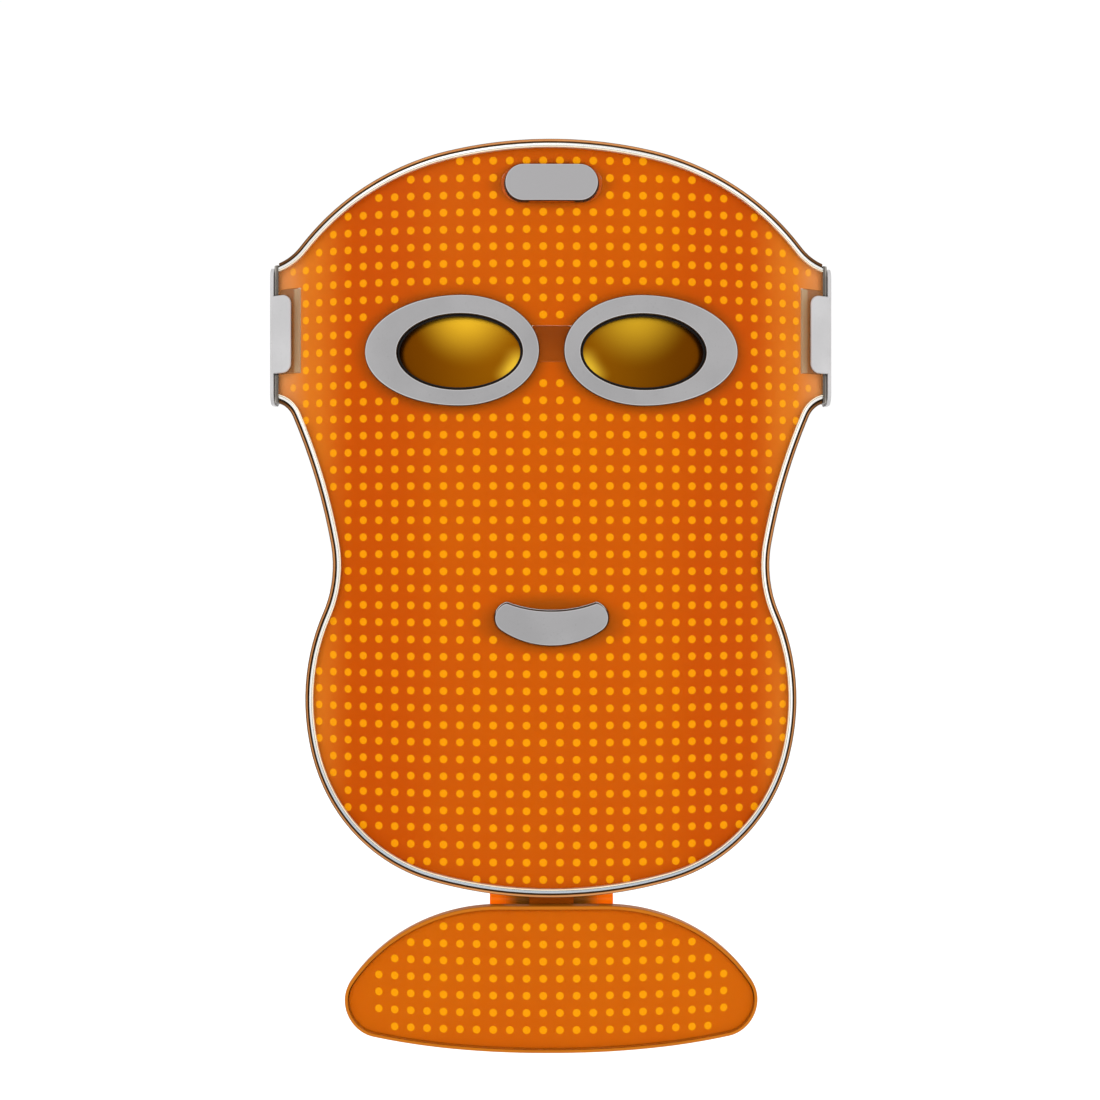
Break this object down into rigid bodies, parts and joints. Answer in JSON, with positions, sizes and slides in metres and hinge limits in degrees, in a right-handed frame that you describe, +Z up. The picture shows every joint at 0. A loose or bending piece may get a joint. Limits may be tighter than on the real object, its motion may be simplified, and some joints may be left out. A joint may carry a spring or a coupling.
{
  "type": "led face mask",
  "caption": "Rigid curved face mask lined with LEDs, with tinted oval eye lenses, a grey mouth insert, a hinged chin panel and a stretch head strap.",
  "frame": {"origin": "middle of the face seat, where the forehead rests against its pad, on the mask's middle line and at the height of the eyes", "axes": "+X to the wearer's left, +Y backwards from the mask into the wearer's face, +Z up; the mask's front looks along -Y"},
  "size_m": [0.1872, 0.2077, 0.2855],
  "materials": {
    "amber_cover": "translucent amber polycarbonate, gloss",
    "amber_film": "amber flexible circuit film",
    "amber_frame": "translucent tan-orange polycarbonate, gloss",
    "battery_foil": "pouch foil",
    "circuit_board": "solder mask",
    "clear_liner": "clear polycarbonate",
    "dark_plastic": "moulded plastic",
    "dark_silicone": "soft matte silicone",
    "gold_lens": "gold mirror coating, tinted lens",
    "grey_plastic": "satin moulded plastic",
    "grey_silicone": "soft matte silicone",
    "led_resin": "amber LED, lit",
    "pod_plastic": "fine texture moulded plastic",
    "silver_trim": "silver edge band, fine lines along it",
    "steel": "plated steel",
    "strap_grip": "hook and loop",
    "strap_webbing": "woven elastic"
  },
  "bodies": {
    "mask": {"battery": "battery_foil", "board_ribbon": "amber_film", "brow_gasket": "grey_silicone", "cheek_gasket": "grey_silicone", "chin_ribbon": "amber_film", "clip_leaf_left": "grey_plastic", "clip_leaf_right": "grey_plastic", "clip_screws": "steel", "control_board": "circuit_board", "edge_seal_left": "dark_silicone", "edge_seal_right": "dark_silicone", "eye_bridge": "dark_plastic", "eye_cup_left": "dark_silicone", "eye_cup_right": "dark_silicone", "eye_gasket_left": "dark_silicone", "eye_gasket_right": "dark_silicone", "eye_lens_left": "gold_lens", "eye_lens_right": "gold_lens", "eye_ring_left": "grey_plastic", "eye_ring_right": "grey_plastic", "forehead_pad": "grey_silicone", "front_cover": "amber_cover", "head_strap": "strap_webbing", "hinge_bracket": "amber_frame", "hinge_pin": "steel", "hinge_screws": "steel", "inner_liner": "clear_liner", "led_board": "amber_film", "leds": "led_resin", "lens_retainer_left": "dark_plastic", "lens_retainer_right": "dark_plastic", "lower_trim": "silver_trim", "mouth_insert": "grey_plastic", "mouth_retainer": "dark_plastic", "nose_pad": "grey_silicone", "pod_cover": "pod_plastic", "pod_housing": "pod_plastic", "pod_screws": "steel", "rear_frame": "amber_frame", "strap_clip_left": "grey_plastic", "strap_clip_right": "grey_plastic", "strap_grips": "strap_grip", "tact_switch": "dark_plastic", "upper_trim": "silver_trim", "usb_c_socket": "steel"},
    "button": {"power_button": "grey_plastic"},
    "chin": {"chin_front_cover": "amber_cover", "chin_hinge_leaf": "amber_frame", "chin_led_board": "amber_film", "chin_leds": "led_resin", "chin_liner": "clear_liner", "chin_pad": "grey_silicone", "chin_rear_shell": "amber_frame", "chin_screws": "steel"}
  },
  "joints": [
    {"name": "button_press", "type": "slide", "parent": "mask", "child": "button", "axis": [0, 1, 0], "range_m": [0, 0.0007], "stiffness_N_per_m": 1500, "springref_m": -0.0006},
    {"name": "chin_tilt", "type": "hinge", "parent": "mask", "child": "chin", "pos_m": [0, -0.01, -0.1726], "axis": [1, 0, 0], "range_deg": [-8, 40], "deforming": ["chin_ribbon"]}
  ]
}
